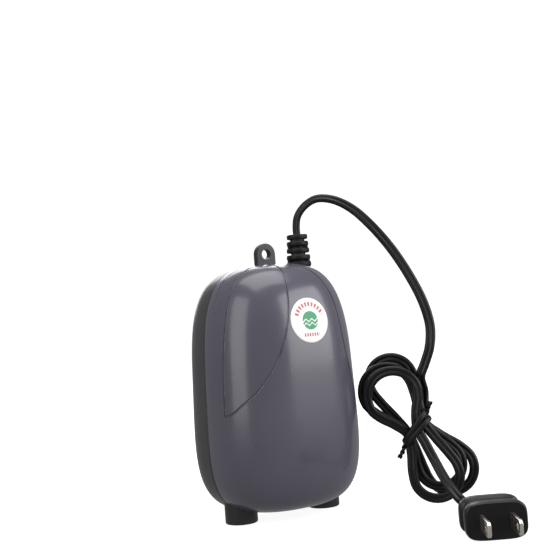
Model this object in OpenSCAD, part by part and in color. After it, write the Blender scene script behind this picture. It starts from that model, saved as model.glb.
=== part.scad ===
// Twin-outlet diaphragm air pump for an aquarium: an upright two-part case, an electromagnet that
// swings two arms, and a rubber diaphragm with its own valves for each outlet.
// Millimetres. +Z is up along the case, -Y is the front, and the case stands on its outlet collars.

/* [Case] */
// Half of the case's width at mid height
half_width = 38.2; // [36:0.1:41]
// Depth of the front shell, from the seam to its face
front_depth = 34.5; // [31:0.5:37]
// Depth of the rear shell, from the seam to its back
rear_depth = 27; // [25:0.5:30]
// Height of the case from its widest section to its top
upper_height = 59.5; // [57:0.5:62]
// Height of the case from its widest section to its bottom
lower_height = 58.5; // [56:0.5:61]
// Wall of both shells
wall = 2.4; // [1.8:0.1:3]
// How much the case narrows towards its top and widens towards its bottom
taper = 0.06; // [0:0.01:0.08]
// Squareness of the front shell's horizontal sections
front_power = 2.4; // [2:0.1:3]
// Squareness of the rear shell's horizontal sections
rear_power = 3.6; // [3:0.1:4]
// Squareness of the outline above the widest section
top_power = 3.6; // [3:0.1:4]
// Squareness of the outline below the widest section
bottom_power = 4.1; // [3.5:0.1:4.5]
// Diameter of the round badge on the front
badge_d = 21; // [18:0.5:24]
// Height of the badge's centre
badge_z = 94; // [88:0.5:100]
// How far the badge's centre stands from the middle, towards the cord
badge_x = 1.5; // [-2:0.5:2]

/* [Outlets] */
// Distance from the middle of the case to each outlet
outlet_x = 24; // [23.5:0.1:24.5]
// How far the collars stand below the case
collar_drop = 4; // [3:0.5:6]
// Outer diameter of a collar
collar_d = 15.6; // [15:0.1:16.5]
// Inner diameter of a collar's recess
collar_bore_d = 12.8; // [12:0.1:13.2]
// Diameter of the nozzle's shank, for tube of 4 mm bore
nozzle_d = 4.4; // [4.2:0.1:4.8]

/* [Fittings] */
// Diameter of the hole in the hanging tab
tab_hole_d = 5; // [4:0.5:6]
// Width of the hanging tab
tab_width = 10.8; // [10:0.1:12]
// Thickness of the hanging tab
tab_thickness = 3.5; // [3:0.1:4]
// How far the rubber feet stand behind the case
foot_height = 3; // [2:0.5:4]
// Distance from the middle of the case to the strain relief
relief_x = 20; // [18:0.5:22]

/* [Drive] */
// Distance from the middle of the case to each swinging arm
arm_x = 8; // [8:0.1:8.3]
// Height of the arms' pivots
pivot_z = 24; // [24:0.1:25]
// Height of the diaphragms' centres
diaphragm_z = 44; // [43:0.5:45]
// Height of the magnet core's pole faces
pole_z = 74; // [73.5:0.5:75]

/* [Cord] */
// Width of the flat twin cord
cord_width = 4.8; // [4.4:0.1:5.6]
// Thickness of the flat twin cord
cord_thickness = 2.5; // [2.2:0.1:2.8]

/* [Hidden] */
$fn = 48;

// ---- outline of the case ----
rows = 26;
columns = 24;
mid_z = collar_drop + lower_height;
top_z = mid_z + upper_height;

function signed_power(v, e) = sign(v) * pow(abs(v), e);
// Height and reach of the outline at angle f, 0 at the top and 180 at the bottom, as shares of 1
function outline_power(f) = f < 90 ? top_power : bottom_power;
function share_up(f) = signed_power(cos(f), 2 / outline_power(f));
function share_out(f) = pow(abs(sin(f)), 2 / outline_power(f));
function reach(f, half_taper = 1) = share_out(f) * (1 - taper * half_taper * share_up(f));
function deepest(depth) = depth * max([for (i = [0 : rows]) reach(180 * i / rows, 0.5)]);

// The seam is placed so that the front face and the feet are equally far from the origin
seam_y = (deepest(front_depth) - deepest(rear_depth) - foot_height) / 2;
front_y = seam_y - deepest(front_depth);
rear_y = seam_y + deepest(rear_depth);

// One point of a shell: inset from the outer skin, row i from the top, column j from -X to +X
function shell_point(depth, power, inset, i, j) =
    let (
        f = 180 * i / rows,
        g = 180 * j / columns,
        height = (f < 90 ? upper_height : lower_height) - inset
    )
    [-(half_width - inset) * reach(f) * signed_power(cos(g), 2 / power),
        seam_y + sign(depth) * (abs(depth) - inset) * reach(f, 0.5) * pow(sin(g), 2 / power),
        mid_z + height * share_up(f)];

// A shell is an outer skin and an inner skin, joined along the seam; depth is negative at the front
module shell_skin(depth, power) {
    wide = columns + 1;
    one_skin = (rows - 1) * wide;
    function grid(inset) = [for (i = [1 : rows - 1]) for (j = [0 : columns])
        shell_point(depth, power, inset, i, j)];
    function pole(inset, i) = [0, seam_y, shell_point(depth, power, inset, i, 0).z];
    points = concat(grid(0), grid(wall), [pole(0, 0), pole(wall, 0), pole(0, rows), pole(wall, rows)]);
    top_out = 2 * one_skin;
    top_in = top_out + 1;
    low_out = top_out + 2;
    low_in = top_out + 3;
    function at(skin, i, j) = skin * one_skin + i * wide + j;
    last = rows - 2;
    outer = [for (i = [0 : last - 1]) for (j = [0 : columns - 1])
        [at(0, i, j), at(0, i, j + 1), at(0, i + 1, j + 1), at(0, i + 1, j)]];
    inner = [for (i = [0 : last - 1]) for (j = [0 : columns - 1])
        [at(1, i, j), at(1, i + 1, j), at(1, i + 1, j + 1), at(1, i, j + 1)]];
    left_rim = [for (i = [0 : last - 1])
        [at(0, i, 0), at(0, i + 1, 0), at(1, i + 1, 0), at(1, i, 0)]];
    right_rim = [for (i = [0 : last - 1])
        [at(0, i, columns), at(1, i, columns), at(1, i + 1, columns), at(0, i + 1, columns)]];
    caps = [for (j = [0 : columns - 1]) each [
        [top_out, at(0, 0, j + 1), at(0, 0, j)],
        [top_in, at(1, 0, j), at(1, 0, j + 1)],
        [low_out, at(0, last, j), at(0, last, j + 1)],
        [low_in, at(1, last, j + 1), at(1, last, j)]]];
    rim_ends = [
        [top_out, at(0, 0, 0), at(1, 0, 0), top_in],
        [top_out, top_in, at(1, 0, columns), at(0, 0, columns)],
        [low_out, low_in, at(1, last, 0), at(0, last, 0)],
        [low_out, at(0, last, columns), at(1, last, columns), low_in]];
    all_faces = concat(outer, inner, left_rim, right_rim, caps, rim_ends);
    triangles = [for (face = all_faces) each len(face) == 3
        ? [face]
        : [[face[0], face[1], face[2]], [face[0], face[2], face[3]]]];
    // The winding above suits the rear shell, and the front shell is its mirror image
    facing = depth > 0 ? triangles : [for (t = triangles) [t[2], t[1], t[0]]];
    polyhedron(points = points, faces = facing, convexity = 6);
}

// ---- places that several parts share ----
collar_r = collar_d / 2;
collar_top = 16;
nozzle_floor = 9;
hole_gap = 0.1;
relief_neck_r = 4;
relief_slot_r = 3.2;
relief_base_z = 116;
relief_top_z = 136;
tab_centre_z = 127;
tab_root_z = 113;
post_r = 3.4;
// Each screw post is [x, z, its length behind the seam, its length in front of the seam]
post_places = [[-10, 10.3, 17.5, 22.5], [10, 10.3, 17.5, 22.5], [-25, 100, 19, 18.5], [25, 100, 19, 18.5]];
post_gap = 0.2;
screw_seat_y = seam_y + 10;
// Each post of the inner frame is [x, z, its end behind the seam]
frame_places = [[-17.5, 20, 22.9], [17.5, 20, 22.9], [0, 108, 21.4]];
frame_front_y = seam_y + 14;
frame_back_y = frame_front_y + 2;
damper_back_y = frame_back_y + 2;
inner_rear_y = seam_y + rear_depth - wall;
// Each foot is [x, z, the floor of its pocket behind the seam]
foot_places = [[-23, 36, 24.8], [23, 36, 24.8], [-21, 92, 23.8], [21, 92, 23.8]];
intake_z = 64;

module along_y(y0, y1, r) {
    translate([0, y0, 0]) rotate([-90, 0, 0]) cylinder(h = y1 - y0, r = r);
}

module along_x(x0, x1, r) {
    translate([x0, 0, 0]) rotate([0, 90, 0]) cylinder(h = x1 - x0, r = r);
}

module at_places(places) {
    for (p = places) translate([p[0], 0, p[1]]) children();
}

module both_sides() {
    children();
    mirror([1, 0, 0]) children();
}

// side is 1 for the right-hand part and -1 for the left-hand one
module on_side(side) {
    if (side > 0) children();
    else mirror([1, 0, 0]) children();
}

// A block from one corner to the opposite one
module block(low, high) {
    translate(low) cube(high - low);
}

// An upright plate with rounded corners, of width w along X, depth d along Y, from z0 to z1
module rounded_block(w, d, r, z0, z1) {
    translate([0, 0, z0]) linear_extrude(z1 - z0) {
        square([w - 2 * r, d], center = true);
        square([w, d - 2 * r], center = true);
        for (x = [-1, 1]) for (y = [-1, 1]) translate([x * (w / 2 - r), y * (d / 2 - r)]) circle(r);
    }
}

module case_openings() {
    for (x = [-outlet_x, outlet_x])
        translate([x, seam_y, -1]) cylinder(h = 24, r = collar_r + hole_gap);
    translate([relief_x, seam_y, 105]) cylinder(h = 30, r = relief_neck_r + hole_gap);
    translate([0, seam_y, 120])
        cube([tab_width + 2 * hole_gap, tab_thickness + 2 * hole_gap, 20], center = true);
}

// ---- case ----
module front_shell() {
    color([0.30, 0.28, 0.32]) difference() {
        shell_skin(-front_depth, front_power);
        case_openings();
    }
}

// The four posts that the case's screws bite into
module front_posts() {
    color([0.30, 0.28, 0.32]) difference() {
        for (p = post_places) at_places([p]) along_y(seam_y - p[3], seam_y - post_gap, post_r);
        at_places(post_places) along_y(seam_y - 12, seam_y + 1, 1.3);
    }
}

// The four posts that hold the screws' heads, and the three that carry the inner frame
module rear_posts() {
    color([0.24, 0.24, 0.25]) difference() {
        union() {
            for (p = post_places) at_places([p]) along_y(seam_y + post_gap, seam_y + p[2], post_r);
            for (p = frame_places) at_places([p]) along_y(damper_back_y, seam_y + p[2], 3);
        }
        at_places(post_places) along_y(seam_y - 1, rear_y + 1, 1.6);
        at_places(post_places) along_y(screw_seat_y, rear_y + 1, 2.6);
        at_places(frame_places) along_y(damper_back_y - 1, damper_back_y + 3, 1.1);
    }
}

module rear_shell() {
    color([0.24, 0.24, 0.25]) difference() {
        shell_skin(rear_depth, rear_power);
        case_openings();
        at_places(post_places) along_y(screw_seat_y, rear_y + 1, 2.6);
        at_places(foot_places) along_y(inner_rear_y - 6, rear_y + 1, 1.8);
        for (p = foot_places) at_places([p]) along_y(seam_y + p[2], rear_y + 5, 5.1);
        // Air intake: one hole in the middle and a ring of six around it
        translate([0, 0, intake_z]) {
            along_y(inner_rear_y - 2, rear_y + 1, 1.3);
            for (k = [0 : 5]) rotate([0, 60 * k, 0]) translate([5, 0, 0])
                along_y(inner_rear_y - 2, rear_y + 1, 1.3);
        }
    }
}

// Depth of the front skin at a place on the front, before any inset
function front_skin_y(x, z) =
    let (
        share = (z - mid_z) / (z > mid_z ? upper_height : lower_height),
        power = z > mid_z ? top_power : bottom_power,
        out = pow(1 - pow(abs(share), power), 1 / power),
        wide = half_width * out * (1 - taper * share),
        deep = front_depth * out * (1 - taper * share / 2)
    )
    seam_y - deep * pow(1 - pow(abs(x) / wide, front_power), 1 / front_power);

// The badge is a thin disc that follows the front skin
module front_badge() {
    rings = 5;
    spokes = 36;
    proud = 0.3;
    sunk = 0.5;
    function spot(k, s, lift) =
        let (
            r = badge_d / 2 * k / rings,
            x = badge_x + r * cos(360 * s / spokes),
            z = badge_z + r * sin(360 * s / spokes)
        )
        [x, front_skin_y(x, z) - lift, z];
    function face_points(lift) = concat([spot(0, 0, lift)],
        [for (k = [1 : rings]) for (s = [0 : spokes - 1]) spot(k, s, lift)]);
    side = 1 + rings * spokes;
    points = concat(face_points(proud), face_points(-sunk));
    function at(layer, k, s) = layer * side + (k == 0 ? 0 : 1 + (k - 1) * spokes + s % spokes);
    hub = [for (s = [0 : spokes - 1]) each [
        [at(0, 0, 0), at(0, 1, s + 1), at(0, 1, s)],
        [at(1, 0, 0), at(1, 1, s), at(1, 1, s + 1)]]];
    bands = [for (k = [1 : rings - 1]) for (s = [0 : spokes - 1]) each [
        [at(0, k, s), at(0, k + 1, s + 1), at(0, k + 1, s)],
        [at(0, k, s), at(0, k, s + 1), at(0, k + 1, s + 1)],
        [at(1, k, s), at(1, k + 1, s), at(1, k + 1, s + 1)],
        [at(1, k, s), at(1, k + 1, s + 1), at(1, k, s + 1)]]];
    edge = [for (s = [0 : spokes - 1]) each [
        [at(0, rings, s), at(0, rings, s + 1), at(1, rings, s + 1)],
        [at(0, rings, s), at(1, rings, s + 1), at(1, rings, s)]]];
    facing = [for (t = concat(hub, bands, edge)) [t[2], t[1], t[0]]];
    color([0.92, 0.92, 0.90]) polyhedron(points = points, faces = facing, convexity = 4);
}

module hang_tab() {
    color([0.07, 0.07, 0.08]) difference() {
        union() {
            translate([0, 0, tab_centre_z])
                along_y(seam_y - tab_thickness / 2, seam_y + tab_thickness / 2, tab_width / 2);
            block([-tab_width / 2, seam_y - tab_thickness / 2, tab_root_z],
                [tab_width / 2, seam_y + tab_thickness / 2, tab_centre_z]);
            // Foot of the tab, wider than the slot, which keeps it in the case
            block([-tab_width / 2 - 3, seam_y - tab_thickness / 2, tab_root_z],
                [tab_width / 2 + 3, seam_y + tab_thickness / 2, tab_root_z + 3]);
        }
        translate([0, 0, tab_centre_z])
            along_y(seam_y - tab_thickness, seam_y + tab_thickness, tab_hole_d / 2);
    }
}

// A foot sits in its pocket, and its stem is held by a bulb inside the shell
module foot_at(index) {
    place = foot_places[index];
    color([0.10, 0.10, 0.11]) at_places([place]) {
        along_y(seam_y + place[2], rear_y + foot_height, 5);
        along_y(inner_rear_y - 5, seam_y + place[2], 1.8);
        along_y(inner_rear_y - 6.5, inner_rear_y - 5, 2.6);
    }
}

module case_screws() {
    color([0.75, 0.75, 0.76]) at_places(post_places) {
        along_y(seam_y - 10, screw_seat_y, 1.25);
        along_y(screw_seat_y, screw_seat_y + 2, 2.4);
    }
}

// ---- outlets ----
module outlet_collar(side) {
    color([0.07, 0.07, 0.08]) translate([side * outlet_x, seam_y, 0]) difference() {
        cylinder(h = collar_top, r = collar_r);
        translate([0, 0, -1]) cylinder(h = nozzle_floor + 3, r = collar_bore_d / 2);
        cylinder(h = collar_top + 1, r = 2.6);
    }
}

module outlet_nozzle(side) {
    color([0.12, 0.12, 0.13]) translate([side * outlet_x, seam_y, 0]) difference() {
        union() {
            translate([0, 0, 1]) cylinder(h = 2, r1 = 1.8, r2 = nozzle_d / 2);
            translate([0, 0, 3]) cylinder(h = nozzle_floor - 3, r = nozzle_d / 2);
            translate([0, 0, nozzle_floor]) cylinder(h = 2, r = collar_bore_d / 2 - hole_gap);
            translate([0, 0, nozzle_floor]) cylinder(h = 12, r = 2.5);
        }
        cylinder(h = 30, r = 1.2);
    }
}

// ---- mains side ----
module strain_relief() {
    pitch = 3.4;
    flange = 2.4;
    count = 5;
    color([0.08, 0.08, 0.09]) translate([relief_x, seam_y, 0]) difference() {
        union() {
            translate([0, 0, relief_base_z - 4]) cylinder(h = 2.6, r = relief_neck_r + 2);
            translate([0, 0, relief_base_z - 4]) cylinder(h = 9, r = relief_neck_r);
            translate([0, 0, relief_base_z]) cylinder(h = relief_top_z - relief_base_z, r = 3.6);
            for (k = [0 : count - 1]) translate([0, 0, relief_top_z - flange - k * pitch])
                cylinder(h = flange, r = 5.15 + 0.25 * k);
        }
        // Slots between the flanges let the sleeve bend
        for (k = [0 : count - 2]) for (turn = [0, 180])
            rotate([0, 0, turn + 90 * (k % 2)])
                translate([relief_slot_r, -1.4, relief_top_z - (k + 1) * pitch]) cube([5, 2.8, 1]);
        translate([0, 0, relief_base_z - 5]) linear_extrude(relief_top_z - relief_base_z + 6)
            square([cord_thickness, cord_width], center = true);
    }
}

// ---- the cord's route ----
// The case is seen from its front left, and the cord falls on its right: "across" runs along that
// fall and "back" runs level and away from the front
across = [0.74, -0.67, 0];
back = [0.67, 0.74, 0];
cord_origin = [relief_x, seam_y, 0];
// Points are [across, back, height]
lead_route = [[0, 0, 135], [0, 0, 140], [1, 0, 145], [5, 0, 150], [11, 0, 153], [19, 0, 152], [28, 0, 147],
    [37, -1, 138], [46, -1, 126], [54, -2, 112], [60, -3, 98], [62.5, -3, 86], [61.5, -4, 76],
    [58.5, -4, 68], [56, -4, 62]];
tail_route = [[60, -11.5, 22], [63, -14.5, 16], [67, -18, 9.5], [71, -23, 5], [75, -30, 3.4],
    [77, -37, 3.4], [78, -43, 4.2], [79, -48, 6.2], [80, -53, 8]];
hank_middle = [52, -4, 37];
hank_lean = 28;
hank_half_length = 39.5;
hank_lobe_r = 16;
hank_depth = 14;
hank_waist = 20;
plug_start = [80, -53, 8];
plug_turn = 10;

function to_frame(p) = cord_origin + p[0] * across + p[1] * back + [0, 0, p[2]];
function unit(v) = v / norm(v);
function curve_at(a, b, c, d, t) = 0.5 * (2 * b + (c - a) * t + (2 * a - 5 * b + 4 * c - d) * t * t
    + (3 * b - a - 3 * c + d) * t * t * t);
// A smooth curve through the route's points, with steps rings for each stretch
function smooth(route, steps) =
    let (n = len(route))
    concat([for (i = [0 : n - 2]) for (s = [0 : steps - 1]) curve_at(
        route[max(i - 1, 0)], route[i], route[i + 1], route[min(i + 2, n - 1)], s / steps)],
        [route[n - 1]]);
function heading(path, i) = unit(path[min(i + 1, len(path) - 1)] - path[max(i - 1, 0)]);
// The cord's broad direction at each ring, carried along the path without twist
function broad(path, i, start) = i == 0
    ? unit(start - (start * heading(path, 0)) * heading(path, 0))
    : let (b = broad(path, i - 1, start), h = heading(path, i)) unit(b - (b * h) * h);

// A closed tube of oval section along a path
module swept(path, wide, thick, start, sides) {
    n = len(path);
    points = [for (i = [0 : n - 1]) let (
            b = broad(path, i, start),
            h = heading(path, i),
            c = cross(h, b)
        ) for (k = [0 : sides - 1])
            path[i] + b * wide / 2 * cos(360 * k / sides) + c * thick / 2 * sin(360 * k / sides)];
    walls = [for (i = [0 : n - 2]) for (k = [0 : sides - 1]) let (m = (k + 1) % sides) each [
        [i * sides + k, (i + 1) * sides + k, (i + 1) * sides + m],
        [i * sides + k, (i + 1) * sides + m, i * sides + m]]];
    first = [for (k = [1 : sides - 2]) [0, k, k + 1]];
    end = (n - 1) * sides;
    last = [for (k = [1 : sides - 2]) [end, end + k + 1, end + k]];
    polyhedron(points = points, faces = concat(walls, first, last), convexity = 6);
}

module cord_lead() {
    color([0.06, 0.06, 0.07])
        swept(smooth([for (p = lead_route) to_frame(p)], 2), cord_width, cord_thickness, back, 8);
}

module cord_tail() {
    color([0.06, 0.06, 0.07])
        swept(smooth([for (p = tail_route) to_frame(p)], 2), cord_width, cord_thickness, back, 8);
}

// The hank leans on the case's side with its lower loops on the table
module at_hank() {
    translate(to_frame(hank_middle)) rotate([0, 0, atan2(across.y, across.x)])
        rotate([0, -hank_lean, 0]) rotate([90, 0, 0]) children();
}

module cord_hank() {
    lobe_at = hank_half_length - hank_lobe_r;
    color([0.06, 0.06, 0.07]) at_hank()
        translate([0, 0, -hank_depth / 2]) linear_extrude(hank_depth) {
            for (y = [-lobe_at, lobe_at]) translate([0, y]) circle(hank_lobe_r);
            square([hank_waist, 2 * lobe_at], center = true);
        }
}

module twist_tie() {
    tie = 1.5;
    color([0.05, 0.05, 0.05]) at_hank() rotate([90, 0, 0]) translate([0, 0, -3]) linear_extrude(6)
        difference() {
            square([hank_waist + 2 * tie, hank_depth + 2 * tie], center = true);
            square([hank_waist, hank_depth], center = true);
        }
}

// The plug lies on the table; its own +Z runs from the cord to the blades
module at_plug() {
    translate(to_frame(plug_start)) rotate([0, 0, atan2(back.y, back.x) + 180 + plug_turn])
        rotate([0, 90, 0]) rotate([0, 0, 90]) children();
}

module plug_body() {
    color([0.06, 0.06, 0.07]) at_plug() {
        for (k = [0 : 3]) translate([0, 0, 3.4 * k]) rounded_block(9.5 + k, 7.5 + 0.6 * k, 2.5, 0, 2.2);
        rounded_block(7, 5.5, 2, 0, 14);
        rounded_block(20, 12.5, 4, 13.4, 18);
        rounded_block(26, 16, 4.5, 18, 22);
        rounded_block(22, 13.5, 4, 22, 30);
        rounded_block(26, 16, 4.5, 30, 36);
    }
}

module plug_blades() {
    blade_gap = 12.7;
    color([0.80, 0.78, 0.70]) at_plug() for (x = [-blade_gap / 2, blade_gap / 2])
        translate([x, 0, 0]) difference() {
            block([-0.75, -3.175, 36], [0.75, 3.175, 53]);
            translate([0, 0, 49]) along_x(-2, 2, 1.6);
        }
}

// ---- inner frame ----
module inner_frame() {
    cheek = 13;
    cheek_low = pivot_z - 8;
    cheek_high = pivot_z + 6;
    color([0.85, 0.85, 0.82]) difference() {
        union() {
            block([-21, frame_front_y, 16], [21, frame_back_y, 111]);
            block([-cheek, seam_y + 8, cheek_low], [cheek, frame_front_y, cheek_high]);
            block([-cheek, seam_y - 11, cheek_low], [cheek, seam_y - 8, cheek_high]);
            block([-cheek, seam_y - 11, cheek_low - 2], [cheek, frame_front_y, cheek_low]);
            for (x = [-1, 1])
                block([min(x * 11, x * 17), seam_y + 7, pole_z + 12],
                    [max(x * 11, x * 17), frame_front_y, pole_z + 32]);
            for (x = [-1, 1])
                block([min(x * 14.5, x * 20.5), seam_y + 8, diaphragm_z - 6],
                    [max(x * 14.5, x * 20.5), frame_front_y, diaphragm_z + 6]);
        }
        both_sides() translate([0, seam_y, diaphragm_z]) along_x(11, 22, 12);
        both_sides() translate([arm_x, 0, pivot_z]) along_y(seam_y - 12, seam_y + 12, 1.5);
        at_places(frame_places) along_y(frame_front_y - 1, frame_back_y + 1, 1.3);
        both_sides() translate([14, 0, pole_z + 28]) along_y(seam_y + 6, seam_y + 18, 1.2);
        // Windows lighten the back plate
        block([-9, frame_front_y - 1, 36], [9, frame_back_y + 1, 52]);
        block([-9, frame_front_y - 1, 58], [9, frame_back_y + 1, 80]);
    }
}

module frame_dampers() {
    color([0.15, 0.15, 0.16]) at_places(frame_places) difference() {
        along_y(frame_back_y, damper_back_y, 3.6);
        along_y(frame_back_y - 1, damper_back_y + 1, 1.3);
    }
}

module frame_screws() {
    color([0.75, 0.75, 0.76]) at_places(frame_places) {
        along_y(frame_front_y - 1.8, frame_front_y, 2.6);
        along_y(frame_front_y, damper_back_y + 1.5, 1.05);
    }
}

// ---- electromagnet ----
module magnet_core() {
    color([0.45, 0.45, 0.47]) difference() {
        block([-17, seam_y - 7, pole_z], [17, seam_y + 7, pole_z + 32]);
        both_sides() block([4, seam_y - 8, pole_z - 1], [11, seam_y + 8, pole_z + 24]);
        both_sides() translate([14, 0, pole_z + 28]) along_y(seam_y - 8, seam_y + 8, 1.4);
    }
}

module core_clamp() {
    color([0.70, 0.70, 0.72]) difference() {
        block([-17, seam_y - 8.2, pole_z + 25], [17, seam_y - 7, pole_z + 31]);
        both_sides() translate([14, 0, pole_z + 28]) along_y(seam_y - 10, seam_y - 6, 1.4);
    }
}

module core_screws() {
    color([0.75, 0.75, 0.76]) both_sides() translate([14, 0, pole_z + 28]) {
        along_y(seam_y - 10, seam_y - 8.2, 2.6);
        along_y(seam_y - 8.2, frame_back_y, 1.15);
    }
}

module coil_bobbin() {
    tube = 1;
    color([0.88, 0.86, 0.78]) difference() {
        union() {
            block([-10.5, seam_y - 12, pole_z + 3], [10.5, seam_y + 12, pole_z + 4.5]);
            block([-10.5, seam_y - 12, pole_z + 21.5], [10.5, seam_y + 12, pole_z + 23]);
            block([-5.3, seam_y - 8.3, pole_z + 3], [5.3, seam_y + 8.3, pole_z + 23]);
        }
        block([-4.1, seam_y - 7.1, pole_z], [4.1, seam_y + 7.1, pole_z + 24]);
    }
}

module coil_winding() {
    color([0.72, 0.38, 0.18]) translate([0, seam_y, 0]) difference() {
        rounded_block(20, 22.4, 3, pole_z + 4.5, pole_z + 21.5);
        block([-5.3, -8.3, pole_z], [5.3, 8.3, pole_z + 24]);
    }
}

// Two wires run from the cord's clamp to the front of the coil
module coil_leads() {
    color([0.10, 0.10, 0.11]) for (x = [-1, 1])
        swept(smooth([
            [relief_x + 1.3 * x, seam_y, 108],
            [relief_x + 1.3 * x, seam_y - 6, 105],
            [relief_x - 2 + 1.3 * x, seam_y - 12, 101],
            [12 + 2 * x, seam_y - 14.5, 97],
            [4 + 3 * x, seam_y - 14.5, 92],
            [4 + 3 * x, seam_y - 11.2, 90]], 2), 1.6, 1.6, back, 6);
}

module cord_clamp() {
    color([0.20, 0.20, 0.21]) difference() {
        block([relief_x - 5, seam_y - 5, 108], [relief_x + 5, seam_y + 5, 111.5]);
        block([relief_x - cord_thickness / 2, seam_y - cord_width / 2, 107],
            [relief_x + cord_thickness / 2, seam_y + cord_width / 2, 112]);
    }
}

// ---- swinging arms ----
module swing_arm(side) {
    color([0.90, 0.90, 0.88]) on_side(side) difference() {
        union() {
            block([arm_x - 1.5, seam_y - 5, pivot_z], [arm_x + 1.5, seam_y + 5, 64]);
            block([arm_x - 5.6, seam_y - 7.5, 62.5], [arm_x + 5.6, seam_y + 7.5, 66]);
            translate([arm_x, 0, pivot_z]) along_y(seam_y - 7, seam_y + 7, 3.6);
        }
        translate([arm_x, 0, pivot_z]) along_y(seam_y - 8, seam_y + 8, 1.55);
        translate([0, seam_y, diaphragm_z]) along_x(arm_x - 3, arm_x + 3, 1.3);
    }
}

module arm_magnet(side) {
    color([0.25, 0.25, 0.27]) on_side(side)
        block([arm_x - 5, seam_y - 7, 66], [arm_x + 5, seam_y + 7, 71]);
}

module pivot_pin(side) {
    color([0.80, 0.80, 0.82]) on_side(side) translate([arm_x, 0, pivot_z]) {
        along_y(seam_y - 12, seam_y + 12, 1.5);
        along_y(seam_y - 12.6, seam_y - 12, 2.4);
    }
}

// ---- pumping units ----
module pumping_axis(side) {
    on_side(side) translate([0, seam_y, diaphragm_z]) rotate([0, 90, 0]) children();
}

module diaphragm(side) {
    color([0.20, 0.20, 0.22]) pumping_axis(side) difference() {
        rotate_extrude() polygon([[0, 9.7], [3.5, 9.7], [3.5, 12.6], [5.2, 13.4], [7, 13.4], [8.4, 13],
            [11, 13], [11, 14.5], [8.4, 14.5], [7, 14.6], [5.2, 14.6], [3.5, 15.4], [0, 15.4]]);
        cylinder(h = 14.2, r = 1.25);
        translate([0, 0, 12]) screw_circle() cylinder(h = 4, r = 0.9);
    }
}

module screw_circle() {
    for (turn = [45 : 90 : 315]) rotate([0, 0, turn]) translate([10.8, 0, 0]) children();
}

module diaphragm_ring(side) {
    color([0.60, 0.60, 0.62]) pumping_axis(side) difference() {
        translate([0, 0, 11.8]) cylinder(h = 1.2, r = 12);
        translate([0, 0, 11]) cylinder(h = 3, r = 9);
        translate([0, 0, 11]) screw_circle() cylinder(h = 3, r = 0.9);
    }
}

module diaphragm_screw(side) {
    color([0.75, 0.75, 0.76]) pumping_axis(side) {
        translate([0, 0, arm_x - 3.3]) cylinder(h = 1.8, r = 2.6);
        translate([0, 0, arm_x - 1.5]) cylinder(h = 15 - arm_x, r = 1.2);
    }
}

module air_chamber(side) {
    color([0.82, 0.83, 0.85]) pumping_axis(side) difference() {
        translate([0, 0, 13]) cylinder(h = 8, r = 12);
        // The diaphragm's flange sits in the wider mouth
        translate([0, 0, 12]) cylinder(h = 2.5, r = 11);
        translate([0, 0, 14]) cylinder(h = 5.5, r = 9.5);
        for (x = [-4.5, 4.5]) translate([x, 0, 18]) cylinder(h = 5, r = 1.6);
        translate([0, 0, 12]) screw_circle() cylinder(h = 10, r = 0.9);
    }
}

// The inlet flap hangs inside the chamber and the outlet flap outside it, each over its port
module inlet_flap(side) {
    color([0.55, 0.55, 0.56]) on_side(side) {
        block([18.6, seam_y - 2.8, diaphragm_z + 2], [19.2, seam_y + 2.8, diaphragm_z + 7.2]);
        translate([18.9, 0, diaphragm_z + 7.2]) along_y(seam_y - 2.8, seam_y + 2.8, 0.5);
    }
}

module outlet_flap(side) {
    color([0.55, 0.55, 0.56]) on_side(side) {
        block([21.3, seam_y - 2.8, diaphragm_z - 7], [21.9, seam_y + 2.8, diaphragm_z - 1.8]);
        translate([21.6, 0, diaphragm_z - 1.8]) along_y(seam_y - 2.8, seam_y + 2.8, 0.5);
    }
}

module valve_cover(side) {
    color([0.78, 0.79, 0.82]) difference() {
        union() {
            pumping_axis(side) translate([0, 0, 21]) cylinder(h = 7, r = 12);
            translate([side * outlet_x, seam_y, diaphragm_z - 20]) cylinder(h = 10, r = 2.5);
        }
        on_side(side) {
            block([20, seam_y - 5.5, diaphragm_z - 9], [26.5, seam_y + 5.5, diaphragm_z - 0.8]);
            block([20, seam_y - 5.5, diaphragm_z + 0.8], [26.5, seam_y + 5.5, diaphragm_z + 9]);
            translate([24, seam_y, diaphragm_z + 8]) cylinder(h = 6, r = 2);
        }
        translate([side * outlet_x, seam_y, diaphragm_z - 21]) cylinder(h = 14, r = 1.5);
        pumping_axis(side) translate([0, 0, 20]) screw_circle() cylinder(h = 10, r = 0.9);
    }
}

module chamber_screws() {
    color([0.75, 0.75, 0.76]) for (side = [-1, 1]) pumping_axis(side) screw_circle() {
        translate([0, 0, 12]) cylinder(h = 16, r = 0.8);
        translate([0, 0, 28]) cylinder(h = 1.2, r = 1.5);
    }
}

module air_hose(side) {
    color([0.75, 0.77, 0.74]) translate([side * outlet_x, seam_y, 0]) difference() {
        translate([0, 0, collar_top]) cylinder(h = diaphragm_z - 13 - collar_top, r = 3.4);
        translate([0, 0, collar_top - 1]) cylinder(h = 20, r = 2.5);
    }
}

// ---- air intake ----
module inlet_filter() {
    color([0.90, 0.90, 0.86]) translate([0, 0, intake_z])
        along_y(inner_rear_y - 2.8, inner_rear_y - 0.3, 8.4);
}

module filter_holder() {
    color([0.30, 0.30, 0.31]) translate([0, 0, intake_z]) difference() {
        along_y(inner_rear_y - 4, inner_rear_y - 0.4, 10);
        along_y(inner_rear_y - 3, inner_rear_y + 1, 8.6);
        for (x = [-4, 0, 4]) for (z = [-4, 0, 4]) translate([x, 0, z])
            along_y(inner_rear_y - 5, inner_rear_y, 1.2);
    }
}

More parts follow.
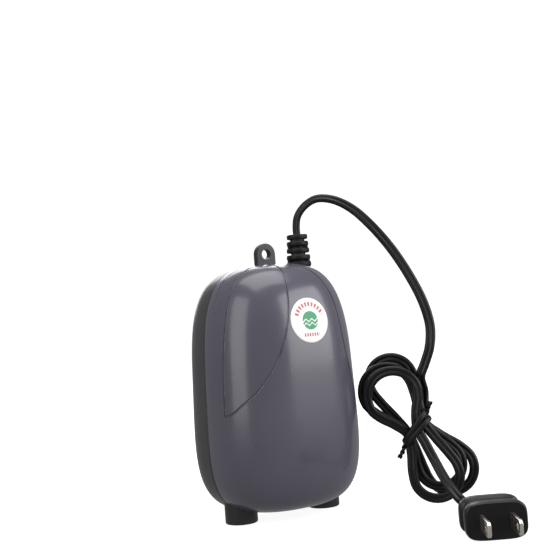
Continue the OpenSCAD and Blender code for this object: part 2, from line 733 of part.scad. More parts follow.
front_shell();
rear_shell();
front_posts();
rear_posts();
front_badge();
hang_tab();
strain_relief();
cord_lead();
cord_hank();
cord_tail();
twist_tie();
plug_body();
plug_blades();
outlet_collar(-1);  // outlet_collar_left
outlet_collar(1);  // outlet_collar_right
outlet_nozzle(-1);  // outlet_nozzle_left
outlet_nozzle(1);  // outlet_nozzle_right
foot_at(0);  // foot_lower_left
foot_at(1);  // foot_lower_right
foot_at(2);  // foot_upper_left
foot_at(3);  // foot_upper_right
case_screws();
inner_frame();
frame_dampers();
frame_screws();
magnet_core();
core_clamp();
core_screws();
coil_bobbin();
coil_winding();
coil_leads();
cord_clamp();
swing_arm(-1);  // swing_arm_left
swing_arm(1);  // swing_arm_right
arm_magnet(-1);  // arm_magnet_left
arm_magnet(1);  // arm_magnet_right
pivot_pin(-1);  // pivot_pin_left
pivot_pin(1);  // pivot_pin_right
diaphragm(-1);  // diaphragm_left
diaphragm(1);  // diaphragm_right
diaphragm_ring(-1);  // diaphragm_ring_left
diaphragm_ring(1);  // diaphragm_ring_right
diaphragm_screw(-1);  // diaphragm_screw_left
diaphragm_screw(1);  // diaphragm_screw_right
air_chamber(-1);  // air_chamber_left
air_chamber(1);  // air_chamber_right
inlet_flap(-1);  // inlet_flap_left
inlet_flap(1);  // inlet_flap_right
outlet_flap(-1);  // outlet_flap_left
outlet_flap(1);  // outlet_flap_right
valve_cover(-1);  // valve_cover_left
valve_cover(1);  // valve_cover_right
chamber_screws();
air_hose(-1);  // air_hose_left
air_hose(1);  // air_hose_right
inlet_filter();
filter_holder();
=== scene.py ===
"""Looks of a twin-outlet diaphragm air pump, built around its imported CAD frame.

Lengths below are in millimetres, as on the part, and to_metres() turns them into scene units.
"""
import math

import bmesh
import bpy
import numpy as np
from mathutils import Matrix, Vector


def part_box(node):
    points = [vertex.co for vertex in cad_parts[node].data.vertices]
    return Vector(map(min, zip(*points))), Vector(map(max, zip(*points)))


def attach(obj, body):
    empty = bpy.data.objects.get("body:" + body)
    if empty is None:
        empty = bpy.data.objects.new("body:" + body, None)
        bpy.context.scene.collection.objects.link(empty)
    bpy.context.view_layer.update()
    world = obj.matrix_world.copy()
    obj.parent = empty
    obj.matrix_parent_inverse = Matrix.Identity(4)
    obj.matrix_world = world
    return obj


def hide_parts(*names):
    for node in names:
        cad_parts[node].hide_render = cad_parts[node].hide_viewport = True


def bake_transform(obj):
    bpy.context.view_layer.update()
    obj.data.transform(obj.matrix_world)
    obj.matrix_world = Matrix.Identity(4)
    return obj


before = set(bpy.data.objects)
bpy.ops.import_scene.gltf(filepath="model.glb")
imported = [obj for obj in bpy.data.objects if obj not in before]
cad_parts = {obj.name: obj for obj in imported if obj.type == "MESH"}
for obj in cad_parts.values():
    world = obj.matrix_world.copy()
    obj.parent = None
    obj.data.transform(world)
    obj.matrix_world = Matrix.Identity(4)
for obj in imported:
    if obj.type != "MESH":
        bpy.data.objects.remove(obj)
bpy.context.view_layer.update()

MM = 0.001
CASE = "pump_case"

# ---- driving dimensions, the same as the part's ----
HALF_WIDTH = 38.2
FRONT_DEPTH = 34.5
REAR_DEPTH = 27.0
UPPER_HEIGHT = 59.5
LOWER_HEIGHT = 58.5
WALL = 2.4
TAPER = 0.06
FRONT_POWER = 2.4
REAR_POWER = 3.6
TOP_POWER = 3.6
BOTTOM_POWER = 4.1
MID_Z = 62.5
OUTLET_X = 24.0
COLLAR_R = 7.8
COLLAR_TOP = 16.0
NOZZLE_FLOOR = 9.0
RELIEF_X = 20.0
RELIEF_BASE = 116.0
RELIEF_TOP = 136.0
TAB_Z = 127.0
TAB_ROOT = 113.0
TAB_THICK = 3.5
TAB_HALF = 5.4
BADGE_X = 1.5
BADGE_Z = 94.0
BADGE_R = 10.5
INTAKE_Z = 64.0
CORD_WIDE = 4.8
CORD_THICK = 2.5

seam = 1000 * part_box("front_shell")[1][1]
rear_face = 1000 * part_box("rear_shell")[1][1]
foot_face = 1000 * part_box("foot_lower_left")[1][1]


def to_metres(points):
    return [tuple(MM * c for c in p) for p in points]


def full_turn(count):
    """Equally spaced angles once round."""
    return np.linspace(0, 2 * math.pi, count, endpoint=False)


def disc(radius, count):
    """Points of a circle round the origin."""
    return [(radius * math.cos(a), radius * math.sin(a)) for a in full_turn(count)]


# ---- making pieces ----
def new_object(name, verts, faces):
    mesh = bpy.data.meshes.new(name)
    mesh.from_pydata(to_metres(verts), [], [tuple(f) for f in faces])
    mesh.validate()
    mesh.update()
    obj = bpy.data.objects.new(name, mesh)
    bpy.context.scene.collection.objects.link(obj)
    return obj


def shade(obj, sharp=35):
    """Smooth shading, with edges sharper than the given angle in degrees kept crisp."""
    obj.data.polygons.foreach_set("use_smooth", [True] * len(obj.data.polygons))
    obj.data.set_sharp_from_angle(angle=math.radians(sharp))


def finish_piece(obj, material, nodes=(), body=CASE, sharp=35):
    """Shades a piece, gives it its material, and puts it on a body in place of CAD nodes."""
    shade(obj, sharp)
    obj.data.materials.clear()
    obj.data.materials.append(material)
    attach(obj, body)
    if nodes:
        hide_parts(*nodes)
    return obj


def outward(obj):
    """Turns every face of a closed mesh outward."""
    work = bmesh.new()
    work.from_mesh(obj.data)
    bmesh.ops.recalc_face_normals(work, faces=work.faces)
    work.to_mesh(obj.data)
    work.free()


def bake(obj):
    """Turns the object's modifiers into its mesh."""
    graph = bpy.context.evaluated_depsgraph_get()
    mesh = bpy.data.meshes.new_from_object(obj.evaluated_get(graph))
    obj.modifiers.clear()
    obj.data = mesh


def cut(obj, *cutters):
    """Takes the cutters out of the object, one after the other, and deletes them."""
    for cutter in cutters:
        change = obj.modifiers.new("cut", "BOOLEAN")
        change.operation = "DIFFERENCE"
        change.solver = "EXACT"
        change.object = cutter
        bake(obj)
        bpy.data.objects.remove(cutter)


def loft(name, rings, closed=False):
    """A tube through rings of equally many points; its ends are closed, or joined to each other."""
    size = len(rings[0])
    count = len(rings)
    verts = [p for ring in rings for p in ring]
    faces = []
    for i in range(count if closed else count - 1):
        a = i * size
        b = ((i + 1) % count) * size
        for k in range(size):
            m = (k + 1) % size
            faces.append((a + k, a + m, b + m, b + k))
    if not closed:
        faces.append(tuple(range(size))[::-1])
        faces.append(tuple((count - 1) * size + k for k in range(size)))
    obj = new_object(name, verts, faces)
    outward(obj)
    return obj


def lathe(name, profile, centre, axis="z", segments=72):
    """A closed profile of (radius, height) turned about an axis through centre."""
    rings = []
    for s in range(segments):
        turn = 2 * math.pi * s / segments
        c, d = math.cos(turn), math.sin(turn)
        ring = []
        for r, h in profile:
            local = {"x": (h, r * c, r * d), "y": (r * c, h, r * d), "z": (r * c, r * d, h)}[axis]
            ring.append(tuple(centre[i] + local[i] for i in range(3)))
        rings.append(ring)
    return loft(name, rings, closed=True)


def join(name, objects):
    """Joins several objects into one of that name."""
    work = bmesh.new()
    for obj in objects:
        work.from_mesh(obj.data)
    mesh = bpy.data.meshes.new(name)
    work.to_mesh(mesh)
    work.free()
    for obj in objects:
        bpy.data.objects.remove(obj)
    whole = bpy.data.objects.new(name, mesh)
    bpy.context.scene.collection.objects.link(whole)
    return whole


def rod(name, start, end, radius, sides=40):
    """A plain round cutter from start to end."""
    a, b = Vector(start), Vector(end)
    frame_of = (b - a).to_track_quat("Z", "Y")
    rings = []
    for p in (a, b):
        rings.append([p + frame_of @ Vector((u, v, 0)) for u, v in disc(radius, sides)])
    return loft(name, rings)


# ---- curves ----
def catmull(points, step):
    """A smooth curve through the points, with samples about step apart."""
    points = [np.array(p, float) for p in points]
    knots = [0.0]
    for a, b in zip(points, points[1:]):
        knots.append(knots[-1] + math.sqrt(np.linalg.norm(b - a)))
    slopes = []
    for i in range(len(points)):
        if i == 0:
            slopes.append((points[1] - points[0]) / (knots[1] - knots[0]))
        elif i == len(points) - 1:
            slopes.append((points[-1] - points[-2]) / (knots[-1] - knots[-2]))
        else:
            before = (points[i] - points[i - 1]) / (knots[i] - knots[i - 1])
            after = (points[i + 1] - points[i]) / (knots[i + 1] - knots[i])
            across_both = (points[i + 1] - points[i - 1]) / (knots[i + 1] - knots[i - 1])
            slopes.append(before + after - across_both)
    line = []
    for i in range(len(points) - 1):
        span = knots[i + 1] - knots[i]
        pieces = max(2, int(np.linalg.norm(points[i + 1] - points[i]) / step))
        for s in range(pieces):
            t = s / pieces
            leaving = (2 * t**3 - 3 * t**2 + 1) * points[i] + (t**3 - 2 * t**2 + t) * span * slopes[i]
            arriving = (3 * t**2 - 2 * t**3) * points[i + 1]
            line.append(leaving + arriving + (t**3 - t**2) * span * slopes[i + 1])
    line.append(points[-1])
    return np.array(line)


def length_of(line):
    return float(np.linalg.norm(np.diff(line, axis=0), axis=1).sum())


def evenly(line, step):
    """The same line with its points an equal distance apart."""
    run = np.concatenate([[0], np.cumsum(np.linalg.norm(np.diff(line, axis=0), axis=1))])
    where = np.linspace(0, run[-1], max(2, int(run[-1] / step)) + 1)
    return np.stack([np.interp(where, run, line[:, i]) for i in range(3)], axis=1)


def headings(line):
    """The line's direction at each of its points."""
    step = np.gradient(line, axis=0)
    return step / np.linalg.norm(step, axis=1)[:, None]


def carried(line, start):
    """A direction square to the line, carried along it without twist."""
    ahead = headings(line)
    side = [start - np.dot(start, ahead[0]) * ahead[0]]
    for h in ahead[1:]:
        side.append(side[-1] - np.dot(side[-1], h) * h)
        side[-1] = side[-1] / np.linalg.norm(side[-1])
    side[0] = side[0] / np.linalg.norm(side[0])
    return ahead, np.array(side)


def smoothstep(low, high, value):
    t = np.clip((value - low) / (high - low), 0, 1)
    return t * t * (3 - 2 * t)


# ---- camera ----
CAMERA_AT = (-0.29988, -0.47003, 0.10884)
CAMERA_RIGHT = Vector((0.83785, -0.54064, -0.07561))
CAMERA_UP = Vector((0.05623, -0.0523, 0.99705))
camera_data = bpy.data.cameras.new("camera")
camera_data.sensor_width = 36
camera_data.lens = 74.66
camera_data.clip_start = 0.01
camera = bpy.data.objects.new("camera", camera_data)
bpy.context.scene.collection.objects.link(camera)
camera.matrix_world = Matrix.Translation(CAMERA_AT) @ Matrix(
    (CAMERA_RIGHT, CAMERA_UP, CAMERA_RIGHT.cross(CAMERA_UP))).transposed().to_4x4()
bpy.context.scene.camera = camera


# ---- materials ----
class Nodes:
    """Short names for the nodes of one material, whose patterns sit on the object's own coordinates."""

    def __init__(self, name, space="Object"):
        self.material = bpy.data.materials.new(name)
        self.material.use_nodes = True
        self.tree = self.material.node_tree
        self.shader = self.tree.nodes["Principled BSDF"]
        self.place = self.tree.nodes.new("ShaderNodeTexCoord").outputs[space]

    def link(self, source, target):
        self.tree.links.new(source, target)

    def math(self, operation, a, b=0.0, c=0.0):
        node = self.tree.nodes.new("ShaderNodeMath")
        node.operation = operation
        for socket, value in zip(node.inputs, (a, b, c)):
            if isinstance(value, (int, float)):
                socket.default_value = value
            else:
                self.link(value, socket)
        return node.outputs[0]

    def scaled(self, scale):
        node = self.tree.nodes.new("ShaderNodeMapping")
        node.inputs["Scale"].default_value = scale
        self.link(self.place, node.inputs["Vector"])
        return node.outputs[0]

    def noise(self, scale, detail=3.0, rough=0.5, place=None):
        node = self.tree.nodes.new("ShaderNodeTexNoise")
        node.inputs["Scale"].default_value = scale
        node.inputs["Detail"].default_value = detail
        node.inputs["Roughness"].default_value = rough
        self.link(place or self.place, node.inputs["Vector"])
        return node.outputs[0]

    def wave(self, scale, direction="Z", distortion=0.0):
        node = self.tree.nodes.new("ShaderNodeTexWave")
        node.bands_direction = direction
        node.inputs["Scale"].default_value = scale
        node.inputs["Distortion"].default_value = distortion
        self.link(self.place, node.inputs["Vector"])
        return node.outputs[1]

    def ramp(self, value, low, high, at=(0.35, 0.65)):
        node = self.tree.nodes.new("ShaderNodeValToRGB")
        for stop, place, colour in zip(node.color_ramp.elements, at, (low, high)):
            stop.position = place
            stop.color = (*colour, 1)
        self.link(value, node.inputs[0])
        return node.outputs[0]

    def mix(self, share, low, high):
        node = self.tree.nodes.new("ShaderNodeMix")
        node.data_type = "RGBA"
        self.link(share, node.inputs[0])
        for socket, value in ((node.inputs[6], low), (node.inputs[7], high)):
            if isinstance(value, tuple):
                socket.default_value = (*value, 1)
            else:
                self.link(value, socket)
        return node.outputs[2]

    def colour(self, value):
        self.link(value, self.shader.inputs["Base Color"])

    def rough(self, value, low, high):
        """Roughness between low and high, where a noise value runs from 0.3 to 0.7."""
        node = self.tree.nodes.new("ShaderNodeMapRange")
        node.inputs["From Min"].default_value = 0.3
        node.inputs["From Max"].default_value = 0.7
        node.inputs["To Min"].default_value = low
        node.inputs["To Max"].default_value = high
        self.link(value, node.inputs[0])
        self.link(node.outputs[0], self.shader.inputs["Roughness"])

    def bump(self, value, depth, before=None):
        node = self.tree.nodes.new("ShaderNodeBump")
        node.inputs["Distance"].default_value = depth
        node.inputs["Strength"].default_value = 1.0
        self.link(value, node.inputs["Height"])
        if before is not None:
            self.link(before, node.inputs["Normal"])
        self.link(node.outputs[0], self.shader.inputs["Normal"])
        return node.outputs[0]

    def fix(self, **values):
        for key, value in values.items():
            self.shader.inputs[key.replace("_", " ")].default_value = value


def around(colour, share):
    """A darker and a lighter version of a colour."""
    return tuple(c * (1 - share) for c in colour), tuple(c * (1 + share) for c in colour)


def moulded(name, colour, rough, grain=900, depth=0.00002, coat=0.0, variation=0.08, specular=0.5):
    """Moulded plastic or rubber: slight colour clouds, uneven gloss and a fine surface grain."""
    n = Nodes(name)
    n.colour(n.ramp(n.noise(35, 4), *around(colour, variation)))
    n.rough(n.noise(120, 5, 0.6), *rough)
    n.fix(Specular_IOR_Level=specular)
    fine = n.bump(n.noise(grain, 3, 0.55), depth)
    if coat:
        n.bump(n.noise(60, 2), depth * 2, fine)
        n.fix(Coat_Weight=coat, Coat_Roughness=0.12)
    return n.material


def metal(name, colour, rough, stretch=(1, 1, 1), depth=0.000012):
    """Metal with fine directional scratches and slightly uneven polish."""
    n = Nodes(name)
    lines = n.noise(900, 4, 0.6, n.scaled(stretch))
    n.colour(n.ramp(n.noise(70, 4), *around(colour, 0.10)))
    n.rough(lines, *rough)
    n.bump(lines, depth)
    n.fix(Metallic=1.0)
    return n.material


def banded(name, colours, scale, direction, depth, rough, metallic=0.0):
    """Wound wire or stacked sheets: bands along one direction."""
    n = Nodes(name)
    bands = n.wave(scale, direction, 0.3)
    n.colour(n.ramp(bands, *colours, at=(0.1, 0.8)))
    n.rough(n.noise(200), *rough)
    n.bump(bands, depth)
    n.fix(Metallic=metallic)
    return n.material


def felt():
    n = Nodes("filter_felt_fibres")
    fibres = n.noise(1400, 6, 0.7, n.scaled((1, 1, 4)))
    n.colour(n.ramp(fibres, (0.62, 0.62, 0.58), (0.86, 0.86, 0.82)))
    n.rough(fibres, 0.85, 0.98)
    n.bump(fibres, 0.0004)
    n.fix(Sheen_Weight=0.3)
    return n.material


def label():
    """White printed label: a broken red ring, short red bars below, and a green drop with waves."""
    n = Nodes("printed_label")
    parts = n.tree.nodes.new("ShaderNodeSeparateXYZ")
    n.link(n.place, parts.inputs[0])
    u = n.math("MULTIPLY_ADD", parts.outputs[0], 1000.0, -BADGE_X)
    v = n.math("MULTIPLY_ADD", parts.outputs[2], 1000.0, -BADGE_Z)
    r = n.math("SQRT", n.math("ADD", n.math("MULTIPLY", u, u), n.math("MULTIPLY", v, v)))
    angle = n.math("ARCTAN2", v, u)

    def between(value, low, high):
        return n.math("MULTIPLY", n.math("GREATER_THAN", value, low), n.math("LESS_THAN", value, high))

    def both(a, b):
        return n.math("MULTIPLY", a, b)

    dashes = n.math("GREATER_THAN", n.math("SINE", n.math("MULTIPLY", angle, 26.0)), -0.25)
    arc = both(both(between(r, 6.6, 8.6), between(angle, 0.35, 2.8)), dashes)
    bars = n.math("GREATER_THAN", n.math("SINE", n.math("MULTIPLY", u, 4.6)), -0.2)
    foot = both(both(between(v, -7.4, -5.9), between(u, -4.2, 4.2)), bars)
    red = n.math("MAXIMUM", arc, foot)
    wave_line = n.math("MULTIPLY", n.math("SINE", n.math("MULTIPLY", u, 1.9)), 0.55)
    lifted = n.math("SUBTRACT", v, wave_line)
    gaps = n.math("MAXIMUM", between(lifted, -0.25, 0.35), between(lifted, -2.05, -1.5))
    disc = n.math("LESS_THAN", r, 4.3)
    green = both(disc, n.math("SUBTRACT", 1.0, gaps))
    paper = n.ramp(n.noise(300, 4), (0.86, 0.86, 0.84), (0.92, 0.92, 0.90))
    with_red = n.mix(red, paper, (0.55, 0.09, 0.09))
    n.colour(n.mix(green, with_red, (0.02, 0.30, 0.12)))
    n.rough(n.noise(500), 0.30, 0.42)
    n.bump(n.noise(1500), 0.000004)
    return n.material


case_front = moulded("front_case_plastic", (0.086, 0.080, 0.108), (0.24, 0.28), 1500, 0.0000015,
                     coat=0.35, variation=0.04)
case_rear = moulded("rear_case_plastic", (0.030, 0.029, 0.034), (0.28, 0.36), 1500, 0.000003,
                    coat=0.2, variation=0.06)
black_plastic = moulded("black_plastic", (0.004, 0.004, 0.005), (0.30, 0.42), 1100, 0.000008,
                        specular=0.35)
collar_plastic = moulded("collar_plastic", (0.016, 0.015, 0.018), (0.30, 0.40), 1100, 0.000008)
soft_black = moulded("soft_black_rubber", (0.005, 0.005, 0.006), (0.46, 0.58), 800, 0.000012,
                     specular=0.3)
foot_black = moulded("foot_rubber", (0.010, 0.010, 0.011), (0.60, 0.75), 700, 0.00003)
jacket = moulded("cord_jacket", (0.003, 0.003, 0.0035), (0.30, 0.42), 1300, 0.000005, specular=0.35)
tie_black = moulded("tie_plastic", (0.003, 0.003, 0.0035), (0.40, 0.55), 1500, 0.00001, specular=0.35)
tab_grey = moulded("tab_plastic", (0.018, 0.017, 0.021), (0.34, 0.46), 1100, 0.000008, specular=0.4)
blade_metal = metal("nickel_blades", (0.74, 0.70, 0.64), (0.20, 0.34), (1, 1, 0.1))
zinc = metal("zinc_steel", (0.62, 0.62, 0.64), (0.28, 0.45), (1, 0.2, 1))
nozzle_black = moulded("nozzle_plastic", (0.025, 0.025, 0.027), (0.42, 0.55))
natural_abs = moulded("natural_abs", (0.70, 0.68, 0.62), (0.45, 0.6), 900, 0.00002)
arm_plastic = moulded("arm_acetal", (0.78, 0.77, 0.73), (0.35, 0.48), 900, 0.00001)
clamp_plastic = moulded("clamp_plastic", (0.05, 0.05, 0.055), (0.45, 0.6))
iron = banded("laminated_iron", ((0.10, 0.10, 0.11), (0.30, 0.30, 0.31)), 320, "Y", 0.00008,
              (0.35, 0.5), metallic=0.9)
bobbin = moulded("bobbin_nylon", (0.74, 0.68, 0.52), (0.4, 0.55))
copper = banded("enamelled_copper", ((0.20, 0.05, 0.02), (0.62, 0.22, 0.08)), 640, "Z", 0.00012,
                (0.22, 0.36), metallic=0.8)
ferrite = moulded("ferrite", (0.07, 0.07, 0.075), (0.5, 0.7), 600, 0.00004)
diaphragm_black = moulded("diaphragm_rubber", (0.035, 0.035, 0.038), (0.55, 0.7), 700, 0.00003)
flap_rubber = moulded("flap_rubber", (0.28, 0.27, 0.26), (0.5, 0.65), 700, 0.00002)
chamber_grey = moulded("chamber_abs", (0.52, 0.54, 0.57), (0.38, 0.5))
silicone = moulded("hose_silicone", (0.42, 0.44, 0.41), (0.4, 0.55), 500, 0.00001)
filter_fibres = felt()
badge_print = label()

# The CAD nodes that stay, by the material each one gets
CAD_LOOKS = {
    clamp_plastic: ("cord_clamp",),
    natural_abs: ("inner_frame", "filter_holder"),
    arm_plastic: ("swing_arm_left", "swing_arm_right"),
    soft_black: ("frame_dampers",),
    jacket: ("coil_leads",),
    zinc: ("case_screws", "frame_screws", "core_screws", "core_clamp", "chamber_screws",
           "pivot_pin_left", "pivot_pin_right", "diaphragm_screw_left", "diaphragm_screw_right"),
    iron: ("magnet_core",),
    bobbin: ("coil_bobbin",),
    copper: ("coil_winding",),
    ferrite: ("arm_magnet_left", "arm_magnet_right"),
    flap_rubber: ("inlet_flap_left", "inlet_flap_right", "outlet_flap_left", "outlet_flap_right"),
    chamber_grey: ("air_chamber_left", "air_chamber_right", "valve_cover_left", "valve_cover_right",
                   "diaphragm_ring_left", "diaphragm_ring_right"),
    silicone: ("air_hose_left", "air_hose_right"),
    filter_fibres: ("inlet_filter",),
    case_front: ("front_posts",),
    case_rear: ("rear_posts",),
}
for look, names in CAD_LOOKS.items():
    for node_name in names:
        node_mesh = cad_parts[node_name].data
        node_mesh.materials.clear()
        node_mesh.materials.append(look)

# ---- the cord ----
# Its route is the part's own: across, back and height
ACROSS = np.array([0.74, -0.67, 0.0])
BACK = np.array([0.67, 0.74, 0.0])
LEAD_ROUTE = [(0, 0, 132), (0, 0, 135), (0, 0, 140), (1, 0, 145), (5, 0, 150), (11, 0, 153),
              (19, 0, 152), (28, 0, 147), (37, -1, 138), (46, -1, 126), (54, -2, 112), (60, -3, 98),
              (62.5, -3, 86), (61.5, -4, 76), (58.5, -4, 68), (56, -4, 62)]
TAIL_ROUTE = [(60, -11.5, 22), (63, -14.5, 16), (67, -18, 9.5), (71, -23, 5), (75, -30, 3.4),
              (77, -37, 3.4), (78, -43, 4.2), (79, -48, 6.2), (80, -53, 8)]
HANK_MIDDLE = (52, -4, 37)
HANK_LEAN = math.radians(28)
PLUG_START = (80, -53, 8)
PLUG_TURN = math.radians(10)
# The strands at the tie: three layers a pitch apart, in two columns
PITCH = 2.6
COLUMN = 4.9


def in_frame(p):
    """A point of the route in the part's own frame."""
    return np.array([RELIEF_X, seam, 0.0]) + p[0] * ACROSS + p[1] * BACK + np.array([0, 0, p[2]])


def in_hank(q, p, w):
    """A point of the hank: q across it, p along it, w out of it towards the front."""
    c, s = math.cos(HANK_LEAN), math.sin(HANK_LEAN)
    across, back, height = HANK_MIDDLE
    return in_frame((across + c * q - s * p, back - w, height + s * q + c * p))


def bight(way, side, start, end, centre, half, reach, depth):
    """One loop of the hank, from start to end, both (q, w) at the tie; way is up or down the hank.

    The loop goes out on the given side, turns round a half circle of radius half, and comes back.
    """
    round_at = reach - half
    # How far along a leg a point is, and how far the leg has opened there
    opening = [(0.36, 0.32), (0.72, 0.80)]

    def leg_point(foot, leg_q, share, open_share):
        return (foot[0] + open_share * (leg_q - foot[0]), way * share * round_at,
                foot[1] + open_share * (depth - foot[1]))

    points = [leg_point(start, centre + side * half, *stage) for stage in opening]
    for turn in range(0, 181, 30):
        a = math.radians(turn)
        points.append((centre + side * half * math.cos(a), way * (round_at + half * math.sin(a)), depth))
    points += [leg_point(end, centre - side * half, *stage) for stage in opening[::-1]]
    points.append((end[0], 0, end[1]))
    return points


RIGHT_BACK, LEFT_BACK = (COLUMN, -PITCH), (-COLUMN, -PITCH)
RIGHT_MID, LEFT_MID = (COLUMN, 0), (-COLUMN, 0)
RIGHT_FRONT, LEFT_FRONT = (COLUMN, PITCH), (-COLUMN, PITCH)
ON_TOP = (1.0, 2 * PITCH)
hank = [(12.4, 13, -5.2), (8.2, 6, -4.2), (COLUMN, 0, -PITCH)]
hank += bight(-1, 1, RIGHT_BACK, LEFT_BACK, 3.4, 11.6, 37.0, -4.6)
hank += bight(1, -1, LEFT_BACK, RIGHT_MID, 1.8, 11.0, 37.0, -3.8)
hank += bight(-1, 1, RIGHT_MID, LEFT_MID, 0.6, 10.8, 31.5, 0.0)
hank += bight(1, -1, LEFT_MID, RIGHT_FRONT, -2.4, 12.2, 34.5, 0.6)
hank += bight(-1, 1, RIGHT_FRONT, LEFT_FRONT, -3.2, 11.2, 35.0, 4.6)
hank += bight(1, -1, LEFT_FRONT, ON_TOP, -0.8, 12.6, 31.5, 4.8)
hank.append((0.5, -8, 6.3))

plug_angle = math.atan2(BACK[1], BACK[0]) + math.pi + PLUG_TURN
plug_heading = Matrix.Rotation(plug_angle, 3, "Z") @ Vector((1, 0, 0))
plug_up = Vector((0, 0, 1))
plug_side = plug_up.cross(plug_heading)
plug_origin = Vector(in_frame(PLUG_START))

route = [in_frame(p) for p in LEAD_ROUTE]
route += [in_hank(*p) for p in hank]
route += [in_frame(p) for p in TAIL_ROUTE]
route.append(np.array(plug_origin + 5 * plug_heading))
centreline = evenly(catmull(route, 0.5), 1.0)


def flat_twin_section():
    """Two round lobes side by side with a groove between them: (wide, thick)."""
    lobe = CORD_THICK / 2
    offset = CORD_WIDE / 2 - lobe
    half = [(offset + lobe * math.cos(math.radians(a)), lobe * math.sin(math.radians(a)))
            for a in range(-120, 121, 24)]
    return half + [(0, 0.66 * lobe)] + [(-b, -c) for b, c in half] + [(0, -0.66 * lobe)]


def sweep(name, line, section, side_start, roll):
    """Carries a section along a line; roll turns it, in radians, at each point."""
    ahead, side = carried(line, side_start)
    rings = []
    for i, point in enumerate(line):
        other = np.cross(ahead[i], side[i])
        wide = math.cos(roll[i]) * side[i] + math.sin(roll[i]) * other
        thick = np.cross(ahead[i], wide)
        rings.append([point + b * wide + c * thick for b, c in section])
    return loft(name, rings)


run = np.arange(len(centreline)) * length_of(centreline) / (len(centreline) - 1)
# The flat cord turns on its edge in the hank and on the table
LEAD_ROLL = math.radians(42)
MORE_ROLL = math.radians(43)
roll = LEAD_ROLL + MORE_ROLL * smoothstep(15, 80, run)
cord = sweep("mains_cord", centreline, flat_twin_section(), BACK, roll)
finish_piece(cord, jacket, ("cord_lead", "cord_hank", "cord_tail"), sharp=50)

# ---- the tie ----
TIE_CENTRE_W = 1.2
BAND_HALF_WIDE = 1.25
BAND_HALF_THICK = 0.5
WIRE_R = 0.62
TWIST_STEP = 0.35
TWIST_PER_MM = 1.25


def tie_point(turn, half_q, half_w, slope):
    """A point of the band's oval, which slopes across the bundle."""
    q = half_q * math.copysign(abs(math.cos(turn)) ** 0.75, math.cos(turn))
    w = TIE_CENTRE_W + half_w * math.copysign(abs(math.sin(turn)) ** 0.75, math.sin(turn))
    return in_hank(q, slope * q, w)


def band(name, half_q, half_w, slope, lift):
    """A flat band round the bundle, a lift along it."""
    along = in_hank(0, 1, 0) - in_hank(0, 0, 0)
    line = np.array([tie_point(t, half_q, half_w, slope) for t in np.linspace(0, 2 * math.pi, 73)[:-1]])
    line = line + lift * along
    rings = []
    for i, point in enumerate(line):
        ahead = line[(i + 1) % len(line)] - line[i - 1]
        ahead = ahead / np.linalg.norm(ahead)
        wide = along - np.dot(along, ahead) * ahead
        wide = wide / np.linalg.norm(wide)
        thick = np.cross(ahead, wide)
        rings.append([point + BAND_HALF_WIDE * u * wide + BAND_HALF_THICK * v * thick
                      for u, v in disc(1, 12)])
    return loft(name, rings, closed=True)


def twisted_tail(name, start, end, sag):
    """Two wires twisted round each other."""
    parts = []
    middle = (np.array(start) + np.array(end)) / 2 + np.array([0, 0, sag])
    core = evenly(catmull([start, middle, end], 0.3), TWIST_STEP)
    askew = np.array([0.3, 0.5, 0.8])
    ahead, side = carried(core, askew)
    for half in (0, math.pi):
        line = []
        for i, point in enumerate(core):
            a = half + TWIST_PER_MM * i * TWIST_STEP
            other = np.cross(ahead[i], side[i])
            line.append(point + WIRE_R * (math.cos(a) * side[i] + math.sin(a) * other))
        straight = [0.0] * len(line)
        parts.append(sweep(name + str(half), np.array(line), disc(WIRE_R, 10), askew, straight))
    return join(name, parts)


tie_parts = [band("band_a", 8.6, 5.7, 0.42, 1.2), band("band_b", 8.7, 5.8, 0.30, -1.6)]
tie_parts.append(twisted_tail("twist_a", in_hank(-8.2, -3.4, 2.5), in_hank(-14.0, -7.5, 5.5), -0.8))
tie_parts.append(twisted_tail("twist_b", in_hank(8.4, 3.6, 2.0), in_hank(13.2, 7.6, 5.0), 0.6))
tie = finish_piece(join("cord_tie", tie_parts), tie_black, ("twist_tie",), sharp=50)

# ---- the plug ----
def plug_point(x, y, z):
    return plug_origin + x * plug_side + y * plug_up + z * plug_heading


def rounded_ring(half_x, half_y, z, power=4.0, count=64):
    ring = []
    for k in range(count):
        a = 2 * math.pi * k / count
        c, s = math.cos(a), math.sin(a)
        ring.append(plug_point(half_x * math.copysign(abs(c) ** (2 / power), c),
                               half_y * math.copysign(abs(s) ** (2 / power), s), z))
    return ring


# The plug's sleeve has four ribs that grow towards its body
SLEEVE_RIBS = 4
SLEEVE_PITCH = 3.4
plug_rings = [rounded_ring(2.9, 2.0, 0.0, 2.6)]
for k in range(SLEEVE_RIBS):
    low = SLEEVE_PITCH * k
    wide, high = 4.75 + 0.5 * k, 3.75 + 0.3 * k
    for dz, dr in ((0.1, 0.6), (0.4, 0.15), (0.9, 0.0), (1.5, 0.0), (2.0, 0.15), (2.3, 0.6)):
        plug_rings.append(rounded_ring(wide - dr, high - dr, low + dz, 3.0))
    plug_rings.append(rounded_ring(3.7 + 0.35 * k, 2.9 + 0.25 * k, low + 2.5, 3.0))
    plug_rings.append(rounded_ring(3.7 + 0.35 * k, 2.9 + 0.25 * k, low + 3.2, 3.0))
